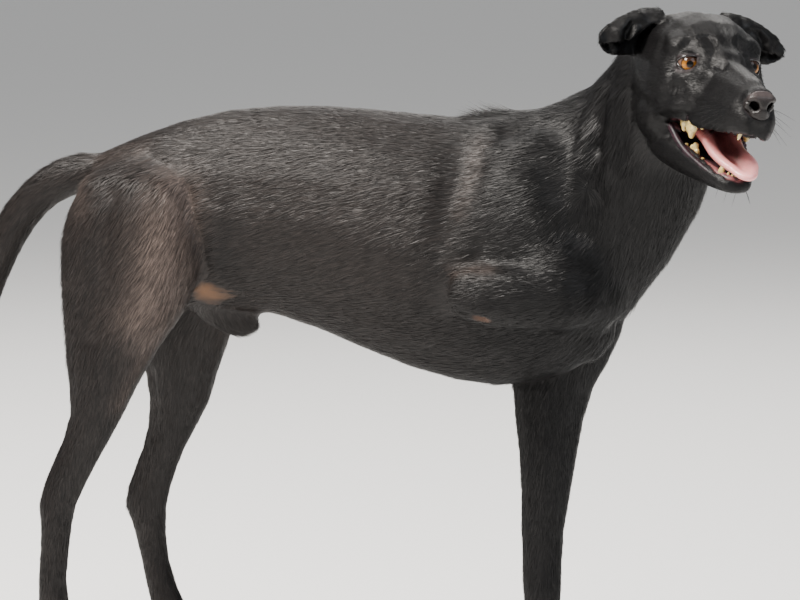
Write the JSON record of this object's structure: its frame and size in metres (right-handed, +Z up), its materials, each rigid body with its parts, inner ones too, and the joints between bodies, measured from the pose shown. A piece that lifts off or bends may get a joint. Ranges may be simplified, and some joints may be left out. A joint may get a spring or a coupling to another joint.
{
  "type": "standing dog model",
  "caption": "Life-size still model of a short-coated standing dog with a rounded foreleg stump, head turned and mouth open, ears held out and tail curving down.",
  "frame": {"origin": "on the floor, below the middle of the model's box", "axes": "+X along the trunk towards the chest, +Y to the dog's left, +Z up"},
  "size_m": [0.7518, 0.2798, 0.5907],
  "materials": {
    "coat": "short, smooth, glossy black hair",
    "ear_coat": "very short black hair over thin skin",
    "leather": "pebbled moist nose leather",
    "horn": "dark smooth horn",
    "iris": "wet clear eye over an amber iris",
    "tongue": "wet, finely rough",
    "tooth": "smooth yellowish enamel in dark gum"
  },
  "bodies": {
    "root": {"head": "coat", "lower_jaw": "coat", "nose": "leather", "tongue": "tongue", "upper_gum_and_teeth": "tooth", "lower_gum_and_teeth": "tooth", "eye_left": "iris", "ear_left": "ear_coat", "eye_right": "iris", "ear_right": "ear_coat", "trunk": "coat", "neck": "coat", "tail": "coat", "sheath": "coat", "upper_arm_right_stump": "coat", "thigh_right": "coat", "shank_right": "coat", "paw_hind_right": "coat", "claw_hind_right_1": "horn", "claw_hind_right_2": "horn", "claw_hind_right_3": "horn", "claw_hind_right_4": "horn", "thigh_left": "coat", "shank_left": "coat", "paw_hind_left": "coat", "claw_hind_left_1": "horn", "claw_hind_left_2": "horn", "claw_hind_left_3": "horn", "claw_hind_left_4": "horn", "upper_arm_left": "coat", "forearm_left": "coat", "paw_fore_left": "coat", "claw_fore_left_1": "horn", "claw_fore_left_2": "horn", "claw_fore_left_3": "horn", "claw_fore_left_4": "horn"}
  },
  "joints": []
}
